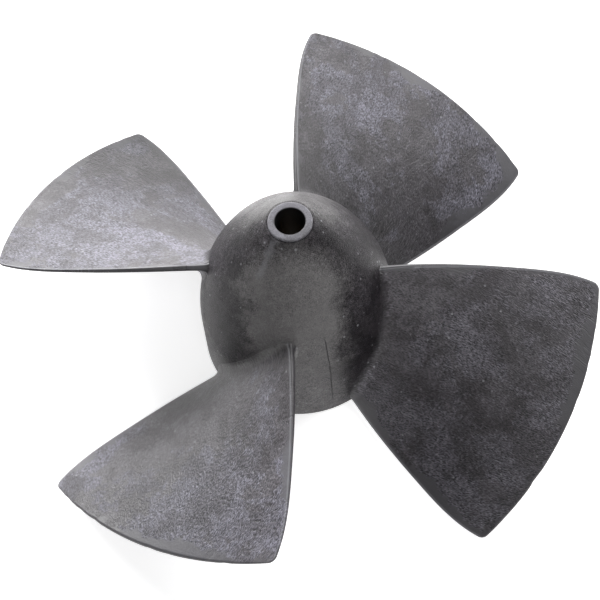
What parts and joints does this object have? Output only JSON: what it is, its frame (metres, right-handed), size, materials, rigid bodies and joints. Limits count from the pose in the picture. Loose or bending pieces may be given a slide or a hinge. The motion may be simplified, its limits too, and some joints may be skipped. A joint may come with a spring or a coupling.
{
  "type": "boat thruster propeller",
  "caption": "Right-hand fixed-pitch thruster propeller with wide swept-square blades on a domed hub, moulded in composite round a metal shaft bush.",
  "frame": {"origin": "centre of the hub's rear face, on the shaft axis", "axes": "+Z along the shaft axis towards the nose and the lock nut; the blades' mid-lines lie on +X, +Y, -X and -Y"},
  "size_m": [0.1792, 0.1792, 0.066],
  "materials": {
    "blade_composite": "satin fibre-filled composite, mottled grey",
    "hub_composite": "satin fibre-filled composite, dark grey",
    "core_composite": "smooth moulded composite, dark grey",
    "web_composite": "matt moulded composite, dark grey",
    "bush_bronze": "turned bronze, dulled"
  },
  "bodies": {
    "root": {"hub_shell": "hub_composite", "hub_core": "core_composite", "shaft_bush": "bush_bronze", "hub_web_1": "web_composite", "hub_web_2": "web_composite", "hub_web_3": "web_composite", "hub_web_4": "web_composite", "hub_web_5": "web_composite", "hub_web_6": "web_composite", "hub_web_7": "web_composite", "hub_web_8": "web_composite", "blade_1": "blade_composite", "blade_2": "blade_composite", "blade_3": "blade_composite", "blade_4": "blade_composite"}
  },
  "joints": []
}
